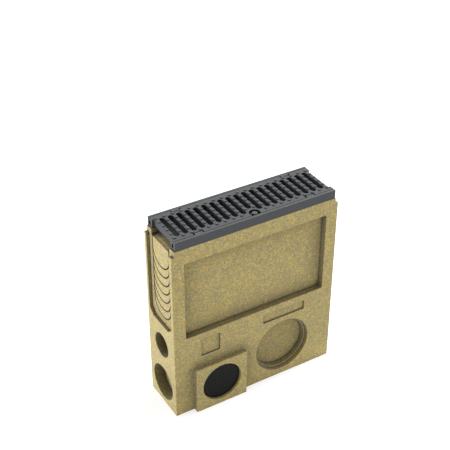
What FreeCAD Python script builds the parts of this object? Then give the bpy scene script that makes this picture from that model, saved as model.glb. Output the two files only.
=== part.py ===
import FreeCAD, Part
import math
import os

# Channel drain sump unit: a deep polymer-concrete box that stands in a line of drain channels,
# with cast-iron edge rails, a slotted grating, a blanked pipe outlet and a silt bucket inside.
# Frame: X along the channel run, front (outlet side) at -Y, +Z up, origin at the base centre.
# All sizes are in millimetres.

# Overall sizes
rail_length = 500.0           # edge rails
body_width = 150.0            # across the body and across the rails
wall_top = 565.0              # height of the concrete under the rails
rail_height = 27.0            # rails above the concrete
clear_width = 101.0           # clear width between the rails
end_stand = 3.0               # the concrete ends this far beyond the rail ends
rim_height = 9.5              # the end rim stands this far beyond that end face
shoulder_drop = 16.0          # rim and end wall stop this far below the wall top
edge_round = 2.0              # rounding of the casting's outer edges
mouth_round = 0.7             # rounding of the edges of recesses and pockets

# Cavity, narrower towards the floor as the mould core needs
floor_thickness = 30.0
shelf_height = 300.0          # ledge that carries the silt bucket
upper_half_width = 45.0       # cavity above the ledge, at the end wall's top
upper_foot_half_width = 44.5  # the same at the ledge
lower_half_width = 38.0       # cavity below the ledge
floor_half_width = 35.0
end_wall = 31.0               # end wall at its top, behind the end face
core_draft = 1.0              # each end of the cavity draws in by this much per stage
cavity_corner = 8.0

# Recessed panel on the front and rear walls
panel_length = 450.0
panel_bottom = 268.0
panel_height = 250.0
panel_depth = 19.0
panel_corner = 5.0

# Two label recesses under the panel
square_label_size = 60.0
square_label_from_end = 114.5  # its middle from the left rim face
square_label_z = 217.0
long_label_length = 140.0
long_label_height = 30.0
long_label_from_end = 168.5    # its middle from the right rim face
long_label_z = 231.0
label_depth = 4.0
label_corner = 3.0

# Outlet boss with a pipe socket
boss_width = 165.0
boss_top = 155.0
boss_stand = 17.0
boss_foot_round = 3.0
outlet_from_end = 141.5       # outlet's middle from the left rim face
outlet_z = 79.0
socket_radius = 62.0
socket_depth = 36.0
outlet_bore_radius = 52.0
pipe_radius = 55.0

# Stepped round knock-out beside the boss
knockout_from_end = 169.5     # its middle from the right rim face
knockout_z = 110.0
knockout_radius = 90.0
knockout_step = 12.0
knockout_ledge = 6.0
knockout_inner_depth = 16.0

# Pipe knock-outs in the end faces, as blind pockets
large_end_radius = 56.0
large_end_z = 72.0
small_end_radius = 38.0
small_end_z = 210.0
large_end_depth = 32.5
small_end_depth = 28.5

# Recess in the end face for a channel, with a nest of break-out grooves
recess_rim = 12.0             # thickness of the rim each side of the recess
recess_bottom = 286.5
recess_chamfer_width = 21.0
recess_chamfer_height = 18.5
groove_radius = 46.0          # to the middle of the groove
groove_width = 4.5
groove_depth = 18.0
groove_count = 7
groove_lowest = 306.0         # bottom of the lowest groove's middle line
groove_spacing = 28.0

# Edge rail section
seat_thickness = 7.5
lip_thickness = 7.8
lip_round = 1.2
lug_length = 23.0
lug_reach = 8.5               # lug inward from the lip
lug_thickness = 9.0
lug_from_end = 76.5           # lug's middle from the rail's end
anchor_count = 6
anchor_length = 36.0
anchor_width = 10.0
anchor_depth = 14.0
anchor_inset = 5.0            # anchor in from the wall's outer face

# Grating
grating_end_gap = 0.5
grating_side_gap = 1.8        # between the grating's flange and the rail's lip
beam_width = 8.0
bar_depth = 19.0
flange_thickness = 8.0
end_bar_least = 9.0           # bars across the ends are at least this wide
slot_pitch = 25.0
slot_width = 15.0
slot_round = 0.8              # rounding of the slots' upper edges
slot_half_length = 48.0
centre_slot_front = -32.0     # the middle slot stops short of the lifting recess
end_setback = 7.2             # the end bars stand back from the side strips
setback_corner = 2.5
lug_end_gap = 4.0
lug_side_gap = 2.5
lift_radius = 16.2
lift_boss_radius = 7.4
lift_y = -56.5
stud_rows = 6
stud_row_pitch = 20.7
stud_radius = 4.9             # at its foot, sunk as deep as the slots' rounding
stud_top_radius = 3.9
stud_height = 2.8
stud_round = 0.5              # rounding of a stud's top edge

# Spring clips under the rail lugs
spring_thickness = 1.0
spring_width = 8.0
spring_end_gap = 2.0
spring_nose_reach = 6.5
spring_nose_half = 8.0
spring_lug_gap = 2.0

# Outlet seal and cap
cap_recess = 6.0              # cap face behind the boss face
cap_plate = 4.0
cap_side_gap = 2.0
cap_wall = 4.0
cap_spigot_length = 22.0
cap_edge = 1.0
seal_gap = 0.2
seal_wall = 4.0
seal_lip_width = 3.0

# Silt bucket and its bail
bucket_sheet = 2.0
bucket_side_gap = 2.0
bucket_end_room = 32.0        # between the bucket and the chamber's end
bucket_draft = 3.0
bucket_depth = 155.0
bucket_flange_gap = 1.0
bucket_end_flange = 7.0
drain_hole_radius = 4.0
drain_hole_columns = 9
drain_hole_pitch = 38.0
drain_hole_drop = 70.0
drain_hole_row = 14.0
tab_half_width = 9.0
tab_rise = 8.0
wire_radius = 3.0
wire_gap = 0.3
bail_reach = 90.0
bail_leg_side = 4.2           # leg's middle line out from the tab's outer face
bail_pin_in = 2.0             # pin's end in from the tab's inner face
bail_corner = 12.0
bail_foot_bend = 3.6

# Places worked out from the sizes above
end_face = rail_length / 2 + end_stand
rim_face = end_face + rim_height
square_label_x = -rim_face + square_label_from_end
long_label_x = rim_face - long_label_from_end
outlet_x = -rim_face + outlet_from_end
knockout_x = rim_face - knockout_from_end
wall_face = body_width / 2
shoulder = wall_top - shoulder_drop
rail_top = wall_top + rail_height
seat_top = wall_top + seat_thickness
rail_inner = clear_width / 2
lip_inner = wall_face - lip_thickness
lug_inner = lip_inner - lug_reach
boss_face = wall_face + boss_stand
cavity_half_length = end_face - end_wall
flange_edge = lip_inner - grating_side_gap
notch_face = lug_inner - lug_side_gap
notch_half = lug_length / 2 + lug_end_gap
grating_half = rail_length / 2 - grating_end_gap
grating_middle_half = rail_length / 2 - end_setback
slots_each_way = int((grating_middle_half - end_bar_least - slot_width / 2) // slot_pitch)
slot_count = 2 * slots_each_way + 1
lug_place = rail_length / 2 - lug_from_end
socket_floor = boss_face - socket_depth
cap_front = boss_face - cap_recess
flange_top = shelf_height + bucket_sheet
bucket_outer = lower_half_width - bucket_side_gap
bucket_half_length = cavity_half_length - bucket_end_room
pivot_z = flange_top + wire_radius + wire_gap
past = 5.0                    # how far a cut runs past a face
near = 0.01                   # places this close count as the same


def point(x, y, z):
    return FreeCAD.Vector(x, y, z)


def block(x_low, x_high, y_low, y_high, z_low, z_high):
    """Box between two corners."""
    return Part.makeBox(x_high - x_low, y_high - y_low, z_high - z_low, point(x_low, y_low, z_low))


def rounded_outline(half_x, half_y, radius):
    """Corner-rounded rectangle around the origin, as points and arcs in a plane."""
    inner_x = half_x - radius
    inner_y = half_y - radius
    diagonal = radius * math.sqrt(0.5)
    edges = []
    corners = [(1, 1), (-1, 1), (-1, -1), (1, -1)]
    for index, (side_x, side_y) in enumerate(corners):
        along_x = point(side_x * half_x, side_y * inner_y, 0)
        along_y = point(side_x * inner_x, side_y * half_y, 0)
        middle = point(side_x * (inner_x + diagonal), side_y * (inner_y + diagonal), 0)
        first, last = (along_x, along_y) if index % 2 == 0 else (along_y, along_x)
        if edges:
            edges.append(Part.LineSegment(previous, first).toShape())
        else:
            start = first
        edges.append(Part.Arc(first, middle, last).toShape())
        previous = last
    edges.append(Part.LineSegment(previous, start).toShape())
    return Part.Wire(edges)


def tapered_core(half_x_low, half_y_low, z_low, half_x_high, half_y_high, z_high, radius):
    """Upright rounded box whose size changes evenly with height."""
    low = rounded_outline(half_x_low, half_y_low, radius)
    low.translate(point(0, 0, z_low))
    high = rounded_outline(half_x_high, half_y_high, radius)
    high.translate(point(0, 0, z_high))
    return Part.makeLoft([low, high], True, True)


def wall_recess(centre_x, centre_z, length, height, depth, radius):
    """Rounded rectangular cut into the front wall."""
    outline = rounded_outline(length / 2, height / 2, radius)
    cutter = Part.Face(outline).extrude(point(0, 0, depth + past))
    cutter.rotate(point(0, 0, 0), point(1, 0, 0), -90)
    cutter.translate(point(centre_x, -wall_face - past, centre_z))
    return cutter


def front_cylinder(centre_x, centre_z, radius, y_low, y_high):
    return Part.makeCylinder(radius, y_high - y_low, point(centre_x, y_low, centre_z), point(0, 1, 0))


def end_cylinder(centre_z, radius, x_low, x_high):
    return Part.makeCylinder(radius, x_high - x_low, point(x_low, 0, centre_z), point(1, 0, 0))


def extruded(corners, direction):
    """Prism from a closed run of corner points."""
    return Part.Face(Part.makePolygon(corners + corners[:1])).extrude(direction)


def other_end(shape):
    return shape.mirror(point(0, 0, 0), point(1, 0, 0))


def other_side(shape):
    return shape.mirror(point(0, 0, 0), point(0, 1, 0))


def edges_inside(shape, low, high):
    """Edges that lie wholly between two corners."""
    found = []
    for edge in shape.Edges:
        bounds = edge.BoundBox
        above = bounds.XMin > low[0] and bounds.YMin > low[1] and bounds.ZMin > low[2]
        below = bounds.XMax < high[0] and bounds.YMax < high[1] and bounds.ZMax < high[2]
        if above and below:
            found.append(edge)
    return found


def edges_on_wall(shape, y, x_low, x_high, z_low, z_high):
    """Edges in an upright plane across Y, between two heights and two places along X."""
    return edges_inside(shape, (x_low, y - near, z_low), (x_high, y + near, z_high))


def straight_upright(edge):
    direction = edge.lastVertex().Point - edge.firstVertex().Point
    return abs(direction.x) < near and abs(direction.y) < near


def upright_circle(edge, radius):
    """Whether an edge in an upright plane is a whole circle of that radius."""
    return edge.isClosed() and abs(edge.BoundBox.ZLength - 2 * radius) < near


# Polymer-concrete body

def body_outside():
    """Main block with its shoulders, the narrower top and the outlet boss."""
    main = block(-rim_face, rim_face, -wall_face, wall_face, 0, shoulder)
    uprights = [edge for edge in main.Edges if straight_upright(edge)]
    end_shoulders = [edge for edge in main.Edges
                     if edge.BoundBox.ZMin > shoulder - near and edge.BoundBox.XLength < near]
    main = main.makeFillet(edge_round, uprights + end_shoulders)
    top = block(-end_face, end_face, -wall_face, wall_face, shoulder - past, wall_top)
    boss_left = outlet_x - boss_width / 2
    boss_right = outlet_x + boss_width / 2
    boss = block(boss_left, boss_right, -boss_face, -wall_face + past, 0, boss_top)
    boss_edges = [edge for edge in boss.Edges if edge.BoundBox.YMax < -wall_face or edge.BoundBox.ZMin > near]
    boss_edges = [edge for edge in boss_edges if edge.BoundBox.YMin < -boss_face + near]
    boss_edges = [edge for edge in boss_edges if edge.BoundBox.ZMax > near]
    boss = boss.makeFillet(edge_round, boss_edges)
    whole = main.fuse([top, boss]).removeSplitter()
    boss_foot = edges_on_wall(whole, -wall_face, boss_left - past, boss_right + past, -past, boss_top + past)
    return whole.makeFillet(boss_foot_round, boss_foot)


def cavity():
    """Channel trough over the end walls, the bucket chamber and the narrower sump below it."""
    trough = block(-rim_face - past, rim_face + past, -rail_inner, rail_inner, shoulder, wall_top + past)
    chamber_foot = cavity_half_length - core_draft
    chamber = tapered_core(chamber_foot, upper_foot_half_width, shelf_height,
                           cavity_half_length, upper_half_width, shoulder + past, cavity_corner)
    sump = tapered_core(chamber_foot - core_draft, floor_half_width, floor_thickness,
                        chamber_foot, lower_half_width, shelf_height + past, cavity_corner)
    return [trough, chamber, sump]


def end_recess():
    """Bay in the left end face that takes the end of a channel."""
    half = wall_face - recess_rim
    foot = half - recess_chamfer_width
    chamfer_top = recess_bottom + recess_chamfer_height
    outline = [(-half, shoulder + past), (-half, chamfer_top), (-foot, recess_bottom),
               (foot, recess_bottom), (half, chamfer_top), (half, shoulder + past)]
    corners = [point(-rim_face - past, y, z) for y, z in outline]
    return extruded(corners, point(rim_height + past, 0, 0))


def break_out_grooves():
    """Nested U grooves in the left end wall, all on the same two straight legs."""
    x_low = -end_face - rim_height
    x_high = -end_face + groove_depth
    outer = groove_radius + groove_width / 2
    inner = groove_radius - groove_width / 2
    first_centre = groove_lowest + groove_radius
    cutters = []
    for index in range(groove_count):
        centre = first_centre + index * groove_spacing
        ring = end_cylinder(centre, outer, x_low, x_high).cut(end_cylinder(centre, inner, x_low, x_high))
        lower_half = block(x_low, x_high, -outer - past, outer + past, centre - outer - past, centre)
        cutters.append(ring.common(lower_half))
    for side in (-1, 1):
        y_low = side * groove_radius - groove_width / 2
        cutters.append(block(x_low, x_high, y_low, y_low + groove_width, first_centre, shoulder + past))
    return cutters[0].fuse(cutters[1:])


def end_cuts():
    """Everything cut into the left end."""
    large = end_cylinder(large_end_z, large_end_radius, -rim_face - past, -rim_face + large_end_depth)
    small = end_cylinder(small_end_z, small_end_radius, -rim_face - past, -rim_face + small_end_depth)
    return [end_recess(), break_out_grooves(), large, small]


def anchor_places():
    spacing = rail_length / anchor_count
    return [(index - (anchor_count - 1) / 2) * spacing for index in range(anchor_count)]


def front_anchors():
    """Blocks under the front rail, cast into the top of the wall."""
    y_low = -wall_face + anchor_inset
    return [block(x - anchor_length / 2, x + anchor_length / 2, y_low, y_low + anchor_width,
                  wall_top - anchor_depth, wall_top) for x in anchor_places()]


def sump_body():
    panel = wall_recess(0, panel_bottom + panel_height / 2, panel_length, panel_height,
                        panel_depth, panel_corner)
    square_label = wall_recess(square_label_x, square_label_z, square_label_size, square_label_size,
                               label_depth, label_corner)
    long_label = wall_recess(long_label_x, long_label_z, long_label_length, long_label_height,
                             label_depth, label_corner)
    step_floor = -wall_face + knockout_step
    knockout = front_cylinder(knockout_x, knockout_z, knockout_radius, -wall_face - past, step_floor)
    knockout_inner = front_cylinder(knockout_x, knockout_z, knockout_radius - knockout_ledge,
                                    step_floor - past, step_floor + knockout_inner_depth)
    socket = front_cylinder(outlet_x, outlet_z, socket_radius, -boss_face - past, -socket_floor)
    outlet_bore = front_cylinder(outlet_x, outlet_z, outlet_bore_radius, -socket_floor - past, 0)
    left_cuts = end_cuts()
    right_cuts = [other_end(cutter) for cutter in left_cuts]
    pockets = front_anchors()
    rear_pockets = [other_side(pocket) for pocket in pockets]
    cutters = cavity() + left_cuts + right_cuts + pockets + rear_pockets
    cutters += [panel, other_side(panel), square_label, long_label]
    cutters += [knockout, knockout_inner, socket, outlet_bore]
    return round_mouths(body_outside().cut(cutters))


def round_mouths(body):
    """Soften the edges of the recesses and round pockets, as the mould leaves them."""
    reach = end_face - past
    boss_right = outlet_x + boss_width / 2 + past
    mouths = edges_on_wall(body, -wall_face, -reach, reach, boss_top + past, wall_top - past)
    mouths += edges_on_wall(body, wall_face, -reach, reach, past, wall_top - past)
    lower = edges_on_wall(body, -wall_face, boss_right, reach, past, wall_top - past)
    mouths += [edge for edge in lower if upright_circle(edge, knockout_radius)]
    step_floor = -wall_face + knockout_step
    round_places = [(-step_floor, knockout_radius - knockout_ledge), (boss_face, socket_radius)]
    for y, radius in round_places:
        plane = edges_on_wall(body, -y, -rim_face, rim_face, -past, wall_top)
        mouths += [edge for edge in plane if upright_circle(edge, radius)]
    for x in (-rim_face, rim_face):
        plane = edges_inside(body, (x - near, -wall_face, 0), (x + near, wall_face, shoulder))
        mouths += [edge for edge in plane
                   if upright_circle(edge, large_end_radius) or upright_circle(edge, small_end_radius)]
    return body.makeFillet(mouth_round, mouths)


# Cast-iron edge rails

def edge_rail_front():
    """Angle-section rail: a seat for the grating, an upright lip and two locking lugs."""
    seat = block(-rail_length / 2, rail_length / 2, -wall_face, -rail_inner, wall_top, seat_top)
    lip = block(-rail_length / 2, rail_length / 2, -wall_face, -lip_inner, wall_top, rail_top)
    outer_top = [edge for edge in lip.Edges
                 if edge.BoundBox.YMax < -wall_face + near and edge.BoundBox.ZMin > rail_top - near]
    lip = lip.makeFillet(lip_round, outer_top)
    lugs = []
    for side in (-1, 1):
        centre = side * lug_place
        lugs.append(block(centre - lug_length / 2, centre + lug_length / 2, -lip_inner - lip_thickness / 2,
                          -lug_inner, rail_top - lug_thickness, rail_top))
    return seat.fuse([lip] + lugs + front_anchors()).removeSplitter()


# Cast-iron grating

def slot_cutter(x, y_low, y_high):
    """Upright slot with round ends."""
    radius = slot_width / 2
    depth = 2 * rail_height
    z_low = rail_top - rail_height
    middle = block(x - radius, x + radius, y_low + radius, y_high - radius, z_low, z_low + depth)
    ends = [Part.makeCylinder(radius, depth, point(x, y, z_low)) for y in (y_low + radius, y_high - radius)]
    return middle.fuse(ends).removeSplitter()


def lug_notches():
    """Gaps in the grating's sides that pass down over the rail lugs."""
    notches = []
    for side_x in (-1, 1):
        centre = side_x * lug_place
        notch = block(centre - notch_half, centre + notch_half, -wall_face, -notch_face,
                      wall_top, rail_top + past)
        notches += [notch, other_side(notch)]
    return notches


def lifting_recess():
    """Ring-shaped recess round a boss in the front strip, where a hook lifts the grating."""
    z_low = rail_top - flange_thickness
    height = flange_thickness + past
    ring = Part.makeCylinder(lift_radius, height, point(0, lift_y, z_low))
    return ring.cut(Part.makeCylinder(lift_boss_radius, height, point(0, lift_y, z_low)))


def stud_places():
    """Anti-slip studs: one column over each bar, clear of the lifting recess."""
    places = []
    for column in range(slot_count + 1):
        x = (column - slot_count / 2) * slot_pitch
        for row in range(stud_rows):
            y = (row - (stud_rows - 1) / 2) * stud_row_pitch
            if math.hypot(x, y - lift_y) > lift_radius + stud_radius:
                places.append((x, y))
    return places


def stud(x, y):
    """Flat-topped stud as wide as a bar, whose foot is sunk into the bar."""
    foot = rail_top - slot_round
    cone = Part.makeCone(stud_radius, stud_top_radius, stud_height + slot_round, point(x, y, foot))
    upper_edges = [edge for edge in cone.Edges if edge.BoundBox.ZMin > rail_top + stud_height - near]
    return cone.makeFillet(stud_round, upper_edges)


def grating():
    beams = []
    flanges = []
    for side in (-1, 1):
        beam_sides = sorted((side * rail_inner, side * (rail_inner + beam_width)))
        flange_sides = sorted((side * rail_inner, side * flange_edge))
        beams.append(block(-grating_half, grating_half, *beam_sides, seat_top, rail_top))
        flanges.append(block(-grating_half, grating_half, *flange_sides,
                             rail_top - flange_thickness, rail_top))
    middle = block(-grating_middle_half, grating_middle_half, -rail_inner, rail_inner,
                   rail_top - bar_depth, rail_top)
    plate = middle.fuse(beams + flanges).removeSplitter()
    inner_corners = [edge for edge in plate.Edges if straight_upright(edge)
                     and abs(abs(edge.BoundBox.Center.x) - grating_middle_half) < near]
    plate = plate.makeFillet(setback_corner, inner_corners)
    cutters = []
    for index in range(slot_count):
        x = (index - (slot_count - 1) / 2) * slot_pitch
        front = centre_slot_front if x == 0 else -slot_half_length
        cutters.append(slot_cutter(x, front, slot_half_length))
    plate = plate.cut(cutters)
    slot_edges = edges_inside(plate, (-grating_middle_half, -slot_half_length - near, rail_top - near),
                              (grating_middle_half, slot_half_length + near, rail_top + near))
    plate = plate.makeFillet(slot_round, slot_edges)
    plate = plate.cut(lug_notches() + [lifting_recess()])
    studs = [stud(x, y) for x, y in stud_places()]
    return plate.fuse(studs)


# Spring clips

def lock_springs():
    """Bent strips in the grating's notches, each with a nose that catches under a rail lug."""
    half = notch_half - spring_end_gap
    slope = math.hypot(spring_nose_half, spring_nose_reach - spring_thickness)
    fold = spring_thickness * slope / spring_nose_half
    back_half = spring_nose_half * (1 - (fold - spring_thickness) / (spring_nose_reach - spring_thickness))
    back = -notch_face
    front = back - spring_thickness
    nose = back - spring_nose_reach
    outline = [(-half, back), (-back_half, back), (0, nose + fold), (back_half, back), (half, back),
               (half, front), (spring_nose_half, front), (0, nose), (-spring_nose_half, front),
               (-half, front)]
    z_high = rail_top - lug_thickness - spring_lug_gap
    springs = []
    for side in (-1, 1):
        corners = [point(side * lug_place + x, y, z_high - spring_width) for x, y in outline]
        spring = extruded(corners, point(0, 0, spring_width))
        springs += [spring, other_side(spring)]
    return Part.makeCompound(springs)


# Outlet seal and cap, turned about the outlet's axis

def turned(profile):
    """Ring or disc from (radius, depth) corners, about the outlet's axis."""
    corners = [point(outlet_x + radius, y, outlet_z) for radius, y in profile]
    face = Part.Face(Part.makePolygon(corners + corners[:1]))
    return face.revolve(point(outlet_x, 0, outlet_z), point(0, 1, 0), 360)


def outlet_seal():
    """Rubber ring against the socket's floor, with two lips towards the pipe."""
    outer = socket_radius - seal_gap
    inner = outer - seal_wall
    lip = pipe_radius + seal_gap
    front = -cap_front + cap_plate
    back = -socket_floor
    middle = (front + back) / 2
    profile = [(outer, front), (lip, front), (lip, front + seal_lip_width), (inner, front + seal_lip_width),
               (inner, middle), (lip, middle), (lip, middle + seal_lip_width),
               (inner, middle + seal_lip_width), (inner, back), (outer, back)]
    return turned(profile)


def outlet_cap():
    """Round cap with a spigot that plugs the seal."""
    rim = socket_radius - cap_side_gap
    front = -cap_front
    back = front + cap_plate
    spigot_end = back + cap_spigot_length
    profile = [(0, front), (rim - cap_edge, front), (rim, front + cap_edge), (rim, back),
               (pipe_radius, back), (pipe_radius, spigot_end), (pipe_radius - cap_wall, spigot_end),
               (pipe_radius - cap_wall, back), (0, back)]
    return turned(profile)


# Silt bucket

def drain_holes():
    """Holes through the bucket's floor and its two long sides."""
    floor = flange_top - bucket_depth
    holes = []
    for column in range(drain_hole_columns):
        x = (column - (drain_hole_columns - 1) / 2) * drain_hole_pitch
        for y in (-drain_hole_row, drain_hole_row):
            holes.append(Part.makeCylinder(drain_hole_radius, bucket_sheet + 2 * past,
                                           point(x, y, floor - past)))
        holes.append(front_cylinder(x, flange_top - drain_hole_drop, drain_hole_radius,
                                    -lower_half_width, lower_half_width))
    return holes


def bail_tabs():
    """Upright tabs at the middle of the long sides, with the bail's pivot holes."""
    tabs = []
    for side in (-1, 1):
        sides = sorted((side * bucket_outer, side * (bucket_outer - bucket_sheet)))
        tab = block(-tab_half_width, tab_half_width, *sides, shelf_height, pivot_z + tab_rise)
        tabs.append(tab)
    return tabs


def silt_bucket():
    floor = flange_top - bucket_depth
    foot_half_length = bucket_half_length - bucket_draft
    foot_half_width = bucket_outer - bucket_draft
    outside = tapered_core(foot_half_length, foot_half_width, floor,
                           bucket_half_length, bucket_outer, flange_top, cavity_corner)
    inside = tapered_core(foot_half_length - bucket_sheet, foot_half_width - bucket_sheet,
                          floor + bucket_sheet, bucket_half_length - bucket_sheet,
                          bucket_outer - bucket_sheet, flange_top, cavity_corner - bucket_sheet)
    flange_half_width = upper_foot_half_width - bucket_flange_gap
    flange_outline = rounded_outline(bucket_half_length + bucket_end_flange, flange_half_width, cavity_corner)
    flange = Part.Face(flange_outline).extrude(point(0, 0, bucket_sheet))
    flange.translate(point(0, 0, shelf_height))
    shell = outside.fuse([flange]).cut([inside])
    shell = shell.fuse(bail_tabs())
    pivot_holes = front_cylinder(0, pivot_z, wire_radius + wire_gap, -lower_half_width, lower_half_width)
    return shell.cut(drain_holes() + [pivot_holes])


def bucket_bail():
    """Round-wire handle, folded down along +X on the bucket's flange."""
    leg_y = bucket_outer + bail_leg_side
    pin_y = bucket_outer - bucket_sheet - bail_pin_in
    edges = []
    previous = point(0, -pin_y, pivot_z)
    turns = [(0, -leg_y, bail_foot_bend), (bail_reach, -leg_y, bail_corner),
             (bail_reach, leg_y, bail_corner), (0, leg_y, bail_foot_bend)]
    far_end = point(0, pin_y, pivot_z)
    corners = [point(x, y, pivot_z) for x, y, radius in turns]
    neighbours = [previous] + corners + [far_end]
    for index, (x, y, radius) in enumerate(turns):
        corner = corners[index]
        towards_last = (neighbours[index] - corner).normalize()
        towards_next = (neighbours[index + 2] - corner).normalize()
        start = corner + towards_last * radius
        stop = corner + towards_next * radius
        centre = start + towards_next * radius
        middle = centre + (corner - centre).normalize() * radius
        edges.append(Part.LineSegment(previous, start).toShape())
        edges.append(Part.Arc(start, middle, stop).toShape())
        previous = stop
    edges.append(Part.LineSegment(previous, far_end).toShape())
    section = Part.Wire([Part.makeCircle(wire_radius, neighbours[0], point(0, 1, 0))])
    return Part.Wire(edges).makePipeShell([section], True, True)


nodes = {
    "sump_body": sump_body(),
    "edge_rail_front": edge_rail_front(),
    "edge_rail_rear": other_side(edge_rail_front()),
    "grating": grating(),
    "lock_springs": lock_springs(),
    "outlet_seal": outlet_seal(),
    "outlet_cap": outlet_cap(),
    "silt_bucket": silt_bucket(),
    "bucket_bail": bucket_bail(),
}

os.makedirs("parts", exist_ok=True)
for name, shape in nodes.items():
    shape.exportStep("parts/" + name + ".step")
    print(name, "valid", shape.isValid(), "solids", len(shape.Solids), "volume", round(shape.Volume))
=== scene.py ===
"""Channel drain sump unit: the finish of each piece, and the studio that shows it."""

import math

import bpy
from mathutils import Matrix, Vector


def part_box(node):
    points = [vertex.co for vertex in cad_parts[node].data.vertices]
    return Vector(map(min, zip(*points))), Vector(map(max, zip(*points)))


bl_info = {
    "name": "Channel Drain Sump Unit",
    "version": (1, 0, 0),
    "blender": (4, 5, 0),
    "location": "3D View > Sidebar > Drain Sump",
    "description": "Finishes a polymer-concrete drain sump with an iron grating, and lights it",
    "category": "Object",
}

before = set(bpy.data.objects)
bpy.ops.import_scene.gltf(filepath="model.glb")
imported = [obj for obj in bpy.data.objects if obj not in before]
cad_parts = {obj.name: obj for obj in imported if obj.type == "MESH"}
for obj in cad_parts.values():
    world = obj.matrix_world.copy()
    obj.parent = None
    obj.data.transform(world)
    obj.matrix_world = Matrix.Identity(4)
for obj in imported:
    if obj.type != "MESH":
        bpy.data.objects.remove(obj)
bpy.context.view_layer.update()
MM = 0.001
RAIL_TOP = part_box("edge_rail_front")[1][2]
STUD_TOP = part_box("grating")[1][2]

# The photograph's camera and the studio in metres, with the sensor in millimetres
CAMERA_PLACE = Vector((-1.18365, -1.87843, 2.00203))
CAMERA_TARGET = Vector((-0.0575, 0.0, 0.5401))
SENSOR_WIDTH = 36.0
LAMP_DISTANCE = 4.0
FLOOR_SIZE = 40.0
WHITE = (1.0, 1.0, 1.0, 1.0)

# Rays that feel out a rounded edge, a corner, and a crevice beside another piece
EDGE_RAYS = 4
CORNER_RAYS = 16
CREVICE_RAYS = 8

# A noise stays near its middle, and an edge shows where the rounded normal leaves the flat one
NOISE_RANGE = {"From Min": 0.3, "From Max": 0.7}
EDGE_RANGE = {"From Min": 0.99, "From Max": 0.85}
# How clear a zinc crystal is by how far, in crystal widths, a place lies from its border
BORDER_RANGE = {"From Max": 0.06, "To Min": 0.75}

# Painted shade: how light a place stays by how open it is, in the iron's crevices, on concrete close under
# the iron, in tight corners of the concrete, and in its wide inner corners
CREVICE_RANGE = {"From Min": 0.55, "From Max": 0.95, "To Min": 0.03}
UNDER_IRON_SHADE_RANGE = {"From Min": 0.35}
TIGHT_SHADE_RANGE = {"From Min": 0.45, "From Max": 0.85, "To Min": 0.4}
CORNER_SHADE = [(openness, (shade, shade, shade, 1.0)) for openness, shade in (
    (0.0, 0.0), (0.3, 0.22), (0.55, 0.46), (0.63, 0.72), (0.9, 0.73), (1.0, 1.0))]

# Roughness over each finish's own pattern, from where the pattern is low to where it is high
CONCRETE_ROUGHNESS = {"To Min": 0.72, "To Max": 0.88}
IRON_ROUGHNESS = {"To Min": 0.5, "To Max": 0.64}
CAP_ROUGHNESS = {"To Min": 0.44, "To Max": 0.56}
SEAL_ROUGHNESS = {"To Min": 0.64, "To Max": 0.78}
ZINC_ROUGHNESS = {"To Min": 0.3, "To Max": 0.5}
STRIP_ROUGHNESS = {"To Min": 0.38, "To Max": 0.22}


def colour(hex_code):
    """Linear colour, with full alpha, from an sRGB hex value."""
    channels = [int(hex_code[start:start + 2], 16) / 255 for start in (0, 2, 4)]
    linear = [c / 12.92 if c <= 0.04045 else ((c + 0.055) / 1.055) ** 2.4 for c in channels]
    return (*linear, 1.0)


def colour_property(name, description, hex_code):
    """Colour that a user may change, from its sRGB hex value."""
    return bpy.props.FloatVectorProperty(
        name=name, description=description, subtype="COLOR", size=4, min=0, max=1,
        default=colour(hex_code))


def length_property(name, description, millimetres):
    """Length that a user may change, from its size in millimetres."""
    return bpy.props.FloatProperty(
        name=name, description=description, subtype="DISTANCE", unit="LENGTH", min=0,
        default=millimetres * MM)


def angle_property(name, description, degrees):
    """Angle that a user may change, from its degrees."""
    return bpy.props.FloatProperty(
        name=name, description=description, subtype="ANGLE", unit="ROTATION", min=0,
        default=math.radians(degrees))


def direction_property(name, description, towards):
    """Direction that a user may change: right, back and up."""
    return bpy.props.FloatVectorProperty(
        name=name, description=description, subtype="DIRECTION", size=3, default=towards)


def amount_property(name, description, amount):
    """Share or strength that a user may change."""
    return bpy.props.FloatProperty(name=name, description=description, min=0, default=amount)


class ConcreteFinish(bpy.types.PropertyGroup):
    """Polymer concrete of the body."""
    sand: colour_property("Sand", "Main tone of the resin-bound sand", "A09458")
    yellow_grain: colour_property("Yellow grain", "Clear yellow quartz grains", "BEA34A")
    pale_grain: colour_property("Pale grain", "Light quartz grains", "C6B372")
    amber_grain: colour_property("Amber grain", "Warm brown grains", "B58040")
    grey_grain: colour_property("Grey grain", "Grey mineral grains", "807A63")
    # Drawn coarser than real grains and sand, which are too fine to show in the render
    grain_size: length_property("Grain size", "Width of the larger grains", 3.0)
    sand_size: length_property("Sand size", "Width of the fine sand between them", 1.6)
    cloud_size: length_property("Cloud size", "Width of the soft clouds of tone", 32.0)
    # Reaches of the painted shade: in wide inner corners, in tight ones, and under the iron above the
    # shade level
    corner_reach: length_property("Corner reach", "How far wide inner corners stay dark", 110.0)
    crevice_reach: length_property("Crevice reach", "How far fines fill the tight corners", 5.0)
    iron_reach: length_property("Iron reach", "How far painted shade darkens the concrete under the iron", 32.0)
    shade_level: length_property("Shade level", "Height above which painted shade falls under the iron", 540.0)
    # Height of the painted light at the foot, which lifts the shade near the floor
    painted_foot_height: length_property("Foot light height", "How far painted light rises from the foot", 80.0)
    edge_round: length_property("Edge rounding", "Softness of the casting's edges", 0.9)
    tooth: length_property("Tooth", "Height of the sand on the surface", 0.4)
    relief: amount_property("Relief", "How strongly the tooth shows", 0.4)
    sand_contrast: amount_property("Sand contrast", "How far the sand's tone swings each way", 0.11)
    cloud_contrast: amount_property("Cloud contrast", "How far the clouds' tone swings each way", 0.02)
    cloud_grey: amount_property("Cloud grey", "How grey the greyest clouds are", 0.15)
    edge_wear: amount_property("Edge wear", "How pale the rubbed edges are", 0.3)
    # Strength of the painted light at the foot
    painted_foot_light: amount_property("Foot light", "How much lighter painted light makes the foot", 0.22)
    sheen: amount_property("Sheen", "Soft light that dust gives at a glancing angle", 0.3)


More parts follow.
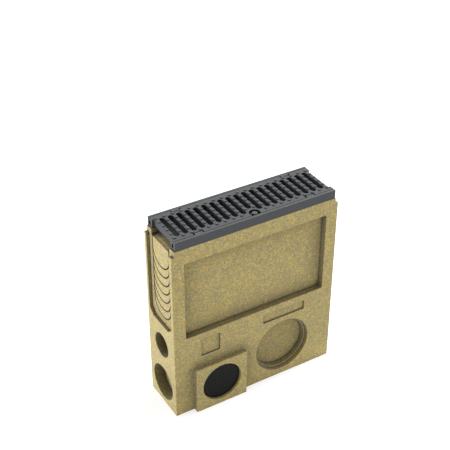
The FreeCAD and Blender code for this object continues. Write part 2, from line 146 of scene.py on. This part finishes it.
class IronFinish(bpy.types.PropertyGroup):
    """Dip-coated ductile iron of the rails and the grating."""
    coat: colour_property("Coat", "Grey of the dip coat", "3C3F41")
    coat_dark: colour_property("Dark coat", "Grey where the coat lies thick", "313335")
    edge: colour_property("Edge", "Lighter grey where the coat is rubbed off the edges", "62676A")
    # Drawn coarser than real casting pebbles, which are too fine to show in the render
    cast_size: length_property("Cast texture", "Width of the as-cast pebble texture", 1.6)
    cloud_size: length_property("Cloud size", "Width of the clouds in the coat", 7.0)
    # Reach of the painted shade in the iron's inner corners and slots
    corner_reach: length_property("Corner reach", "How far inner corners and slots stay dark", 14.0)
    edge_round: length_property("Edge rounding", "Softness of the casting's edges", 0.8)
    tooth: length_property("Tooth", "Height of the pebble texture", 0.25)
    relief: amount_property("Relief", "How strongly the tooth shows", 0.35)
    pebble_contrast: amount_property("Pebble contrast", "How far the pebbles' tone swings each way", 0.14)
    edge_wear: amount_property("Edge wear", "How bare the rubbed edges are", 0.8)
    stud_wear: amount_property("Stud wear", "How bare the trodden tops of the studs are", 0.1)
    gloss: amount_property("Gloss", "Strength of the coat's reflection", 0.35)


class OutletFinish(bpy.types.PropertyGroup):
    """Moulded polypropylene cap and rubber seal of the outlet."""
    cap: colour_property("Cap", "Black polypropylene", "070707")
    cap_scuffed: colour_property("Scuffed cap", "Grey of its rubbed edges", "1C1D1D")
    seal: colour_property("Seal", "Black rubber", "080808")
    seal_bloom: colour_property("Seal bloom", "Grey bloom on the rubber", "151514")
    # Drawn coarser than real mould grain, which is too fine to show in the render
    grain_size: length_property("Mould grain", "Width of the mould's grain", 1.2)
    bloom_size: length_property("Bloom size", "Width of the clouds of bloom and handling", 14.0)
    edge_round: length_property("Edge rounding", "Softness of the moulded edges", 0.5)
    tooth: length_property("Tooth", "Height of the grain", 0.08)
    relief: amount_property("Relief", "How strongly the tooth shows", 0.25)
    edge_wear: amount_property("Edge wear", "How grey the rubbed edges are", 0.8)
    handling: amount_property("Handling", "How grey the cap's handled places are", 0.12)
    cap_gloss: amount_property("Cap gloss", "Strength of the cap's reflection", 0.1)
    seal_gloss: amount_property("Seal gloss", "Strength of the seal's reflection", 0.12)


class BucketFinish(bpy.types.PropertyGroup):
    """Galvanised steel of the silt bucket and its bail."""
    zinc: colour_property("Zinc", "Hot-dip zinc", "9EA3A7")
    zinc_dark: colour_property("Dark zinc", "Dull zinc crystals", "7F858A")
    zinc_rubbed: colour_property("Rubbed zinc", "Bright zinc on rubbed edges", "C9CDD0")
    spangle_size: length_property("Spangle size", "Width of the zinc crystals", 9.0)
    # Drawn coarser than real frost, which is too fine to show in the render
    frost_size: length_property("Frost size", "Width of the frost on the zinc", 0.8)
    edge_round: length_property("Edge rounding", "Softness of the sheet's edges", 0.5)
    tooth: length_property("Tooth", "Height of the frost", 0.08)
    relief: amount_property("Relief", "How strongly the tooth shows", 0.3)
    edge_wear: amount_property("Edge wear", "How bright the rubbed edges are", 0.8)
    metal: amount_property("Metal", "How metallic the weathered zinc is", 0.9)


class ClipFinish(bpy.types.PropertyGroup):
    """Stainless strip of the spring clips."""
    strip: colour_property("Strip", "Bright stainless strip", "B4B6B8")
    strip_dark: colour_property("Dark strip", "Stainless strip along its rolling lines", "94979A")
    strip_edge: colour_property("Strip edge", "Bare bright edges of the cut strip", "D6D8D9")
    line_length: length_property("Line length", "Length of the rolling lines", 50.0)
    # Drawn coarser than real rolling lines, which are too fine to show in the render
    line_width: length_property("Line width", "Width of the rolling lines", 0.7)
    edge_round: length_property("Edge rounding", "Softness of the strip's edges", 0.5)
    tooth: length_property("Tooth", "Height of the lines", 0.08)
    relief: amount_property("Relief", "How strongly the tooth shows", 0.2)
    edge_wear: amount_property("Edge wear", "How bright the rubbed edges are", 0.8)
    metal: amount_property("Metal", "How metallic the bare strip is", 1.0)


class StudioSettings(bpy.types.PropertyGroup):
    """Floor, lamps, sky and camera."""
    floor: colour_property("Floor", "Pale floor", "C8C8C8")
    floor_glow: amount_property("Floor glow", "How far the floor is lifted to white where it is seen", 0.6)
    sky: amount_property("Sky", "Strength of the even light all round", 0.75)
    top_lamp: amount_property("Top lamp", "Strength of the high lamp on the right, slightly behind", 4.9)
    top_towards: direction_property(
        "Top lamp direction", "From the object to the high lamp", (0.56, 0.165, 0.81))
    top_spread: angle_property("Top lamp spread", "Angle that the lamp fills, for soft shadows", 22.0)
    side_lamp: amount_property("Side lamp", "Strength of the low lamp on the left and behind", 2.36)
    side_towards: direction_property(
        "Side lamp direction", "From the object to the low lamp", (-0.95, 0.28, 0.1))
    side_spread: angle_property("Side lamp spread", "Angle that the lamp fills, for soft shadows", 24.0)
    lens: bpy.props.FloatProperty(
        name="Lens", description="Focal length of the camera", unit="CAMERA", min=1, default=78.58)


class SumpSettings(bpy.types.PropertyGroup):
    """All settings of the drain sump."""
    concrete: bpy.props.PointerProperty(type=ConcreteFinish)
    iron: bpy.props.PointerProperty(type=IronFinish)
    outlet: bpy.props.PointerProperty(type=OutletFinish)
    bucket: bpy.props.PointerProperty(type=BucketFinish)
    clips: bpy.props.PointerProperty(type=ClipFinish)
    studio: bpy.props.PointerProperty(type=StudioSettings)


def connect(material, node, links):
    """Feeds a node's inputs from other nodes' outputs."""
    for key, output in links.items():
        material.node_tree.links.new(output, node.inputs[key])


def add_node(material, kind, settings=None, links=None):
    """Adds one shader node: settings are fields or input values, links feed inputs from outputs."""
    node = material.node_tree.nodes.new(kind)
    for key, value in (settings or {}).items():
        if key == "stops":
            while len(node.color_ramp.elements) < len(value):
                node.color_ramp.elements.new(0.5)
            for element, (place, shade) in zip(node.color_ramp.elements, value):
                element.position = place
                element.color = shade
        elif isinstance(key, int) or key in node.inputs:
            node.inputs[key].default_value = value
        else:
            setattr(node, key, value)
    connect(material, node, links or {})
    return node


def new_material(name, settings):
    """Empty material with its output, and a principled shader with what is the same all over."""
    material = bpy.data.materials.new(name)
    material.use_nodes = True
    material.node_tree.nodes.clear()
    shader = add_node(material, "ShaderNodeBsdfPrincipled", settings)
    add_node(material, "ShaderNodeOutputMaterial", links={"Surface": shader.outputs["BSDF"]})
    return material, shader


def per_size(length):
    """Texture scale that gives features of that length, in metres, on Object coordinates."""
    return 1 / length


def swing(amount):
    """Settings that turn a noise into a factor that swings by an amount each way about 1."""
    return {**NOISE_RANGE, "To Min": 1 - amount, "To Max": 1 + amount}


def rubbed_edges(material, rounding, most):
    """Normal with rounded edges, and how rubbed a place is: not at all on the flat, most on an edge."""
    rounded = add_node(material, "ShaderNodeBevel", {"samples": EDGE_RAYS, "Radius": rounding})
    surface = add_node(material, "ShaderNodeNewGeometry")
    flatness = add_node(material, "ShaderNodeVectorMath", {"operation": "DOT_PRODUCT"},
                        {0: rounded.outputs["Normal"], 1: surface.outputs["Normal"]})
    rubbed = add_node(material, "ShaderNodeMapRange", {**EDGE_RANGE, "To Max": most},
                      {"Value": flatness.outputs["Value"]})
    return rounded.outputs["Normal"], rubbed.outputs["Result"]


def quartz_grains(material, finish, place, clouds):
    """Colour of the quartz grains, each of one tone, with soft grey clouds over them."""
    grains = add_node(material, "ShaderNodeTexVoronoi", {"Scale": per_size(finish.grain_size)},
                      {"Vector": place})
    pick = add_node(material, "ShaderNodeSeparateColor", links={"Color": grains.outputs["Color"]})
    tones = add_node(material, "ShaderNodeValToRGB", {"stops": [
        (0.0, finish.grey_grain), (0.3, finish.sand), (0.55, finish.sand), (0.75, finish.yellow_grain),
        (0.88, finish.pale_grain), (1.0, finish.amber_grain)]}, {"Fac": pick.outputs["Red"]})
    greyness = add_node(material, "ShaderNodeMapRange", {**NOISE_RANGE, "To Max": finish.cloud_grey},
                        {"Value": clouds.outputs["Fac"]})
    clouded = add_node(material, "ShaderNodeMix", {"data_type": "RGBA", "B": finish.grey_grain},
                       {"Factor": greyness.outputs["Result"], "A": tones.outputs["Color"]})
    return clouded.outputs["Result"]


def painted_corner_shade(material, finish, height):
    """Painted shade on the concrete: darker in wide inner corners, in tight ones, and close under the
    iron.
    """
    openness = add_node(material, "ShaderNodeAmbientOcclusion",
                        {"samples": CORNER_RAYS, "only_local": True, "Distance": finish.corner_reach})
    corners = add_node(material, "ShaderNodeValToRGB", {"stops": CORNER_SHADE},
                       {"Fac": openness.outputs["AO"]})
    # Painted shade in the tight corners of the concrete
    tightness = add_node(material, "ShaderNodeAmbientOcclusion",
                         {"samples": CORNER_RAYS, "only_local": True, "Distance": finish.crevice_reach})
    shades = add_node(material, "ShaderNodeMapRange", TIGHT_SHADE_RANGE, {"Value": tightness.outputs["AO"]})
    # Painted shade on the concrete close under the iron
    under_iron = add_node(material, "ShaderNodeAmbientOcclusion",
                          {"samples": CREVICE_RAYS, "Distance": finish.iron_reach})
    shaded_under_iron = add_node(material, "ShaderNodeMapRange", UNDER_IRON_SHADE_RANGE, {"Value": under_iron.outputs["AO"]})
    # The painted shade under the iron is kept to places above the shade level
    at_inlet = add_node(material, "ShaderNodeMath", {"operation": "GREATER_THAN", 1: finish.shade_level},
                        {0: height})
    silt = add_node(material, "ShaderNodeMix", {"data_type": "FLOAT", "A": 1.0},
                    {"Factor": at_inlet.outputs["Value"], "B": shaded_under_iron.outputs["Result"]})
    tight_and_iron_shade = add_node(material, "ShaderNodeMath", {"operation": "MULTIPLY"},
                     {0: shades.outputs["Result"], 1: silt.outputs["Result"]})
    painted_shade = add_node(material, "ShaderNodeMath", {"operation": "MULTIPLY"},
                    {0: corners.outputs["Color"], 1: tight_and_iron_shade.outputs["Value"]})
    return painted_shade.outputs["Value"]


def polymer_concrete(finish):
    """Resin-bound quartz sand cast in a mould: matte, with grains of several tones and a fine tooth."""
    material, shader = new_material("polymer_concrete", {"Sheen Weight": finish.sheen})
    place = add_node(material, "ShaderNodeTexCoord").outputs["Object"]
    height = add_node(material, "ShaderNodeSeparateXYZ", links={"Vector": place}).outputs["Z"]
    clouds = add_node(material, "ShaderNodeTexNoise",
                      {"Scale": per_size(finish.cloud_size), "Detail": 3.0}, {"Vector": place})
    sand = add_node(material, "ShaderNodeTexNoise",
                    {"Scale": per_size(finish.sand_size), "Detail": 4.0, "Roughness": 0.7},
                    {"Vector": place})
    soft_normal, rubbed = rubbed_edges(material, finish.edge_round, finish.edge_wear)
    worn = add_node(material, "ShaderNodeMix", {"data_type": "RGBA", "B": finish.pale_grain},
                    {"Factor": rubbed, "A": quartz_grains(material, finish, place, clouds)})
    sand_light = add_node(material, "ShaderNodeMapRange", swing(finish.sand_contrast),
                          {"Value": sand.outputs["Fac"]})
    # The clouds that are greyer are darker too
    cloud_light = add_node(material, "ShaderNodeMapRange", swing(-finish.cloud_contrast),
                           {"Value": clouds.outputs["Fac"]})
    grain_light = add_node(material, "ShaderNodeMath", {"operation": "MULTIPLY"},
                           {0: sand_light.outputs["Result"], 1: cloud_light.outputs["Result"]})
    # Painted light at the foot: lighter towards the bottom, against the shade near the floor
    bloom = add_node(material, "ShaderNodeMapRange",
                     {"From Max": finish.painted_foot_height, "To Min": 1 + finish.painted_foot_light}, {"Value": height})
    unshaded_light = add_node(material, "ShaderNodeMath", {"operation": "MULTIPLY"},
                           {0: grain_light.outputs["Value"], 1: bloom.outputs["Result"]})
    # Painted shade from the corners and from under the iron darkens the colour
    light = add_node(material, "ShaderNodeMath", {"operation": "MULTIPLY"},
                     {0: unshaded_light.outputs["Value"], 1: painted_corner_shade(material, finish, height)})
    tinted = add_node(material, "ShaderNodeVectorMath", {"operation": "SCALE"},
                      {"Vector": worn.outputs["Result"], "Scale": light.outputs["Value"]})
    roughness = add_node(material, "ShaderNodeMapRange", {**NOISE_RANGE, **CONCRETE_ROUGHNESS},
                         {"Value": sand.outputs["Fac"]})
    bump = add_node(material, "ShaderNodeBump", {"Strength": finish.relief, "Distance": finish.tooth},
                    {"Height": sand.outputs["Fac"], "Normal": soft_normal})
    connect(material, shader, {"Base Color": tinted.outputs["Vector"],
                               "Roughness": roughness.outputs["Result"], "Normal": bump.outputs["Normal"]})
    return material


def coated_iron(finish):
    """Ductile iron, sand cast and dip coated: satin grey over fine pebbles, pale on edges and studs."""
    material, shader = new_material("dip_coated_ductile_iron", {"Specular IOR Level": finish.gloss})
    place = add_node(material, "ShaderNodeTexCoord").outputs["Object"]
    height = add_node(material, "ShaderNodeSeparateXYZ", links={"Vector": place}).outputs["Z"]
    clouds = add_node(material, "ShaderNodeTexNoise",
                      {"Scale": per_size(finish.cloud_size), "Detail": 4.0}, {"Vector": place})
    pebbles = add_node(material, "ShaderNodeTexNoise",
                       {"Scale": per_size(finish.cast_size), "Detail": 2.0}, {"Vector": place})
    thinness = add_node(material, "ShaderNodeMapRange", NOISE_RANGE, {"Value": clouds.outputs["Fac"]})
    tones = add_node(material, "ShaderNodeMix",
                     {"data_type": "RGBA", "A": finish.coat_dark, "B": finish.coat},
                     {"Factor": thinness.outputs["Result"]})
    soft_normal, rubbed = rubbed_edges(material, finish.edge_round, finish.edge_wear)
    trodden = add_node(material, "ShaderNodeMapRange",
                       {"From Min": (RAIL_TOP + STUD_TOP) / 2, "From Max": STUD_TOP,
                        "To Max": finish.stud_wear}, {"Value": height})
    bareness = add_node(material, "ShaderNodeMath", {"operation": "MAXIMUM"},
                        {0: rubbed, 1: trodden.outputs["Result"]})
    worn = add_node(material, "ShaderNodeMix", {"data_type": "RGBA", "B": finish.edge},
                    {"Factor": bareness.outputs["Value"], "A": tones.outputs["Result"]})
    pebble_light = add_node(material, "ShaderNodeMapRange", swing(finish.pebble_contrast),
                            {"Value": pebbles.outputs["Fac"]})
    # Painted shade: the coat is darker in crevices, in slots and round the studs' feet
    openness = add_node(material, "ShaderNodeAmbientOcclusion",
                        {"samples": CREVICE_RAYS, "Distance": finish.corner_reach})
    corners = add_node(material, "ShaderNodeMapRange", CREVICE_RANGE, {"Value": openness.outputs["AO"]})
    light = add_node(material, "ShaderNodeMath", {"operation": "MULTIPLY"},
                     {0: pebble_light.outputs["Result"], 1: corners.outputs["Result"]})
    tinted = add_node(material, "ShaderNodeVectorMath", {"operation": "SCALE"},
                      {"Vector": worn.outputs["Result"], "Scale": light.outputs["Value"]})
    roughness = add_node(material, "ShaderNodeMapRange", {**NOISE_RANGE, **IRON_ROUGHNESS},
                         {"Value": clouds.outputs["Fac"]})
    bump = add_node(material, "ShaderNodeBump", {"Strength": finish.relief, "Distance": finish.tooth},
                    {"Height": pebbles.outputs["Fac"], "Normal": soft_normal})
    connect(material, shader, {"Base Color": tinted.outputs["Vector"],
                               "Roughness": roughness.outputs["Result"], "Normal": bump.outputs["Normal"]})
    return material


def black_polypropylene(finish):
    """Injection-moulded polypropylene: dull black with the mould's fine grain, scuffed grey edges."""
    material, shader = new_material("black_polypropylene", {"Specular IOR Level": finish.cap_gloss})
    place = add_node(material, "ShaderNodeTexCoord").outputs["Object"]
    grain = add_node(material, "ShaderNodeTexNoise",
                     {"Scale": per_size(finish.grain_size), "Detail": 3.0}, {"Vector": place})
    flow = add_node(material, "ShaderNodeTexNoise",
                    {"Scale": per_size(finish.bloom_size), "Detail": 3.0}, {"Vector": place})
    soft_normal, scuffed = rubbed_edges(material, finish.edge_round, finish.edge_wear)
    handled = add_node(material, "ShaderNodeMapRange", {**NOISE_RANGE, "To Max": finish.handling},
                       {"Value": flow.outputs["Fac"]})
    wear = add_node(material, "ShaderNodeMath", {"operation": "MAXIMUM"},
                    {0: scuffed, 1: handled.outputs["Result"]})
    tones = add_node(material, "ShaderNodeMix",
                     {"data_type": "RGBA", "A": finish.cap, "B": finish.cap_scuffed},
                     {"Factor": wear.outputs["Value"]})
    roughness = add_node(material, "ShaderNodeMapRange", {**NOISE_RANGE, **CAP_ROUGHNESS},
                         {"Value": grain.outputs["Fac"]})
    bump = add_node(material, "ShaderNodeBump", {"Strength": finish.relief, "Distance": finish.tooth},
                    {"Height": grain.outputs["Fac"], "Normal": soft_normal})
    connect(material, shader, {"Base Color": tones.outputs["Result"],
                               "Roughness": roughness.outputs["Result"], "Normal": bump.outputs["Normal"]})
    return material


def black_rubber(finish):
    """Moulded rubber: soft matte black with a faint grey bloom in clouds and on its rubbed lips."""
    material, shader = new_material("black_rubber", {"Specular IOR Level": finish.seal_gloss})
    place = add_node(material, "ShaderNodeTexCoord").outputs["Object"]
    grain = add_node(material, "ShaderNodeTexNoise",
                     {"Scale": per_size(finish.grain_size), "Detail": 3.0}, {"Vector": place})
    bloom = add_node(material, "ShaderNodeTexNoise",
                     {"Scale": per_size(finish.bloom_size), "Detail": 3.0}, {"Vector": place})
    haze = add_node(material, "ShaderNodeMapRange", NOISE_RANGE, {"Value": bloom.outputs["Fac"]})
    soft_normal, rubbed = rubbed_edges(material, finish.edge_round, finish.edge_wear)
    wear = add_node(material, "ShaderNodeMath", {"operation": "MAXIMUM"},
                    {0: haze.outputs["Result"], 1: rubbed})
    tones = add_node(material, "ShaderNodeMix",
                     {"data_type": "RGBA", "A": finish.seal, "B": finish.seal_bloom},
                     {"Factor": wear.outputs["Value"]})
    roughness = add_node(material, "ShaderNodeMapRange", {**NOISE_RANGE, **SEAL_ROUGHNESS},
                         {"Value": bloom.outputs["Fac"]})
    bump = add_node(material, "ShaderNodeBump", {"Strength": finish.relief, "Distance": finish.tooth},
                    {"Height": grain.outputs["Fac"], "Normal": soft_normal})
    connect(material, shader, {"Base Color": tones.outputs["Result"],
                               "Roughness": roughness.outputs["Result"], "Normal": bump.outputs["Normal"]})
    return material


def galvanised_steel(finish):
    """Hot-dip galvanised steel: zinc crystals of several greys under fine frost, bright rubbed edges."""
    material, shader = new_material("hot_dip_galvanised_steel", {"Metallic": finish.metal})
    place = add_node(material, "ShaderNodeTexCoord").outputs["Object"]
    frost = add_node(material, "ShaderNodeTexNoise",
                     {"Scale": per_size(finish.frost_size), "Detail": 3.0}, {"Vector": place})
    crystals = add_node(material, "ShaderNodeTexVoronoi",
                        {"Scale": per_size(finish.spangle_size)}, {"Vector": place})
    borders = add_node(material, "ShaderNodeTexVoronoi",
                       {"feature": "DISTANCE_TO_EDGE", "Scale": per_size(finish.spangle_size)},
                       {"Vector": place})
    pick = add_node(material, "ShaderNodeSeparateColor", links={"Color": crystals.outputs["Color"]})
    clearness = add_node(material, "ShaderNodeMapRange", BORDER_RANGE,
                         {"Value": borders.outputs["Distance"]})
    tones = add_node(material, "ShaderNodeMix",
                     {"data_type": "RGBA", "A": finish.zinc_dark, "B": finish.zinc},
                     {"Factor": pick.outputs["Red"]})
    tinted = add_node(material, "ShaderNodeVectorMath", {"operation": "SCALE"},
                      {"Vector": tones.outputs["Result"], "Scale": clearness.outputs["Result"]})
    soft_normal, rubbed = rubbed_edges(material, finish.edge_round, finish.edge_wear)
    worn = add_node(material, "ShaderNodeMix", {"data_type": "RGBA", "B": finish.zinc_rubbed},
                    {"Factor": rubbed, "A": tinted.outputs["Vector"]})
    roughness = add_node(material, "ShaderNodeMapRange", ZINC_ROUGHNESS, {"Value": pick.outputs["Green"]})
    bump = add_node(material, "ShaderNodeBump", {"Strength": finish.relief, "Distance": finish.tooth},
                    {"Height": frost.outputs["Fac"], "Normal": soft_normal})
    connect(material, shader, {"Base Color": worn.outputs["Result"],
                               "Roughness": roughness.outputs["Result"], "Normal": bump.outputs["Normal"]})
    return material


def spring_steel(finish):
    """Cold-rolled stainless strip: bright, with fine lines along the rolling and bare cut edges."""
    material, shader = new_material("stainless_spring_strip", {"Metallic": finish.metal})
    place = add_node(material, "ShaderNodeTexCoord").outputs["Object"]
    along = per_size(finish.line_length)
    across = per_size(finish.line_width)
    stretched = add_node(material, "ShaderNodeMapping", {"Scale": (along, across, across)},
                         {"Vector": place})
    lines = add_node(material, "ShaderNodeTexNoise", {"Scale": 1.0},
                     {"Vector": stretched.outputs["Vector"]})
    shine = add_node(material, "ShaderNodeMapRange", NOISE_RANGE, {"Value": lines.outputs["Fac"]})
    tones = add_node(material, "ShaderNodeMix",
                     {"data_type": "RGBA", "A": finish.strip_dark, "B": finish.strip},
                     {"Factor": shine.outputs["Result"]})
    soft_normal, rubbed = rubbed_edges(material, finish.edge_round, finish.edge_wear)
    worn = add_node(material, "ShaderNodeMix", {"data_type": "RGBA", "B": finish.strip_edge},
                    {"Factor": rubbed, "A": tones.outputs["Result"]})
    roughness = add_node(material, "ShaderNodeMapRange", {**NOISE_RANGE, **STRIP_ROUGHNESS},
                         {"Value": lines.outputs["Fac"]})
    bump = add_node(material, "ShaderNodeBump", {"Strength": finish.relief, "Distance": finish.tooth},
                    {"Height": lines.outputs["Fac"], "Normal": soft_normal})
    connect(material, shader, {"Base Color": worn.outputs["Result"],
                               "Roughness": roughness.outputs["Result"], "Normal": bump.outputs["Normal"]})
    return material


def dress(node_names, material):
    """Gives CAD nodes one material."""
    for name in node_names:
        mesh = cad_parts[name].data
        mesh.materials.clear()
        mesh.materials.append(material)


class SUMP_OT_concrete_body(bpy.types.Operator):
    """Finishes the cast body in polymer concrete"""
    bl_idname = "sump.concrete_body"
    bl_label = "Concrete Body"

    def execute(self, context):
        dress(["sump_body"], polymer_concrete(context.scene.sump.concrete))
        return {"FINISHED"}


class SUMP_OT_iron_work(bpy.types.Operator):
    """Finishes the edge rails and the grating in coated iron"""
    bl_idname = "sump.iron_work"
    bl_label = "Rails and Grating"

    def execute(self, context):
        dress(["edge_rail_front", "edge_rail_rear", "grating"], coated_iron(context.scene.sump.iron))
        return {"FINISHED"}


class SUMP_OT_outlet_fittings(bpy.types.Operator):
    """Finishes the outlet's cap in polypropylene and its seal in rubber"""
    bl_idname = "sump.outlet_fittings"
    bl_label = "Outlet Cap and Seal"

    def execute(self, context):
        finish = context.scene.sump.outlet
        dress(["outlet_cap"], black_polypropylene(finish))
        dress(["outlet_seal"], black_rubber(finish))
        return {"FINISHED"}


class SUMP_OT_silt_bucket(bpy.types.Operator):
    """Finishes the silt bucket and its bail in galvanised steel"""
    bl_idname = "sump.silt_bucket"
    bl_label = "Silt Bucket"

    def execute(self, context):
        dress(["silt_bucket", "bucket_bail"], galvanised_steel(context.scene.sump.bucket))
        return {"FINISHED"}


class SUMP_OT_spring_clips(bpy.types.Operator):
    """Finishes the grating's spring clips in stainless strip"""
    bl_idname = "sump.spring_clips"
    bl_label = "Spring Clips"

    def execute(self, context):
        dress(["lock_springs"], spring_steel(context.scene.sump.clips))
        return {"FINISHED"}


def deselect_all():
    """Leaves no object selected, so that the next one is added alone."""
    bpy.ops.object.select_all(action="DESELECT")


def seen_directly(owner):
    """Value of 1 where the camera looks straight, in a mirror or through glass, and 0 for other light."""
    path = add_node(owner, "ShaderNodeLightPath")
    mirrored = add_node(owner, "ShaderNodeMath", {"operation": "MAXIMUM"},
                        {0: path.outputs["Is Camera Ray"], 1: path.outputs["Is Glossy Ray"]})
    seen = add_node(owner, "ShaderNodeMath", {"operation": "MAXIMUM"},
                    {0: mirrored.outputs["Value"], 1: path.outputs["Is Transmission Ray"]})
    return seen.outputs["Value"]


def add_floor(studio):
    """Pale matte floor that reads as white and still takes the soft shadow."""
    deselect_all()
    bpy.ops.mesh.primitive_plane_add(size=FLOOR_SIZE)
    floor = bpy.context.object
    floor.name = "studio_floor"
    material, shader = new_material("studio_floor", {
        "Base Color": studio.floor, "Roughness": 1.0, "Specular IOR Level": 0.0, "Emission Color": WHITE})
    glow = add_node(material, "ShaderNodeMath", {"operation": "MULTIPLY", 1: studio.floor_glow},
                    {0: seen_directly(material)})
    connect(material, shader, {"Emission Strength": glow.outputs["Value"]})
    floor.data.materials.append(material)


def add_sky(studio):
    """Even white sky, dim as a light and white where it is seen."""
    world = bpy.data.worlds.new("studio_sky")
    bpy.context.scene.world = world
    world.use_nodes = True
    world.node_tree.nodes.clear()
    strength = add_node(world, "ShaderNodeMapRange", {"To Min": studio.sky},
                        {"Value": seen_directly(world)})
    sky = add_node(world, "ShaderNodeBackground", {"Color": WHITE},
                   {"Strength": strength.outputs["Result"]})
    add_node(world, "ShaderNodeOutputWorld", links={"Surface": sky.outputs["Background"]})


def add_lamp(name, strength, towards, spread):
    """Large soft lamp far away in a direction."""
    deselect_all()
    bpy.ops.object.light_add(type="SUN", location=Vector(towards) * LAMP_DISTANCE)
    lamp = bpy.context.object
    lamp.name = name
    lamp.data.energy = strength
    lamp.data.angle = spread
    lamp.rotation_euler = Vector(towards).to_track_quat("Z", "Y").to_euler()


def add_camera(studio):
    """Camera at the photograph's place, looking at the same point."""
    deselect_all()
    bpy.ops.object.camera_add(location=CAMERA_PLACE)
    camera = bpy.context.object
    camera.name = "photo_camera"
    camera.data.sensor_width = SENSOR_WIDTH
    camera.data.lens = studio.lens
    camera.rotation_euler = (CAMERA_TARGET - CAMERA_PLACE).to_track_quat("-Z", "Y").to_euler()
    bpy.context.scene.camera = camera


class SUMP_OT_stage(bpy.types.Operator):
    """Adds the pale floor, the soft lamps, the sky and the camera"""
    bl_idname = "sump.stage"
    bl_label = "Stage"

    def execute(self, context):
        studio = context.scene.sump.studio
        add_floor(studio)
        add_sky(studio)
        add_lamp("top_lamp", studio.top_lamp, studio.top_towards, studio.top_spread)
        add_lamp("side_lamp", studio.side_lamp, studio.side_towards, studio.side_spread)
        add_camera(studio)
        context.scene.view_settings.view_transform = "Standard"
        return {"FINISHED"}


class SUMP_PT_panel(bpy.types.Panel):
    """Lists the steps that finish the sump"""
    bl_idname = "SUMP_PT_panel"
    bl_label = "Drain Sump"
    bl_space_type = "VIEW_3D"
    bl_region_type = "UI"
    bl_category = "Drain Sump"

    def draw(self, context):
        for step in STEPS:
            self.layout.operator(step.bl_idname)


FINISHES = (ConcreteFinish, IronFinish, OutletFinish, BucketFinish, ClipFinish)
STEPS = (SUMP_OT_concrete_body, SUMP_OT_iron_work, SUMP_OT_outlet_fittings, SUMP_OT_silt_bucket,
         SUMP_OT_spring_clips, SUMP_OT_stage)
CLASSES = (*FINISHES, StudioSettings, SumpSettings, *STEPS, SUMP_PT_panel)


def register():
    for entry in CLASSES:
        bpy.utils.register_class(entry)
    bpy.types.Scene.sump = bpy.props.PointerProperty(type=SumpSettings)


def unregister():
    del bpy.types.Scene.sump
    for entry in reversed(CLASSES):
        bpy.utils.unregister_class(entry)


def main():
    register()
    bpy.ops.sump.concrete_body()
    bpy.ops.sump.iron_work()
    bpy.ops.sump.outlet_fittings()
    bpy.ops.sump.silt_bucket()
    bpy.ops.sump.spring_clips()
    bpy.ops.sump.stage()


if __name__ == "__main__":
    main()
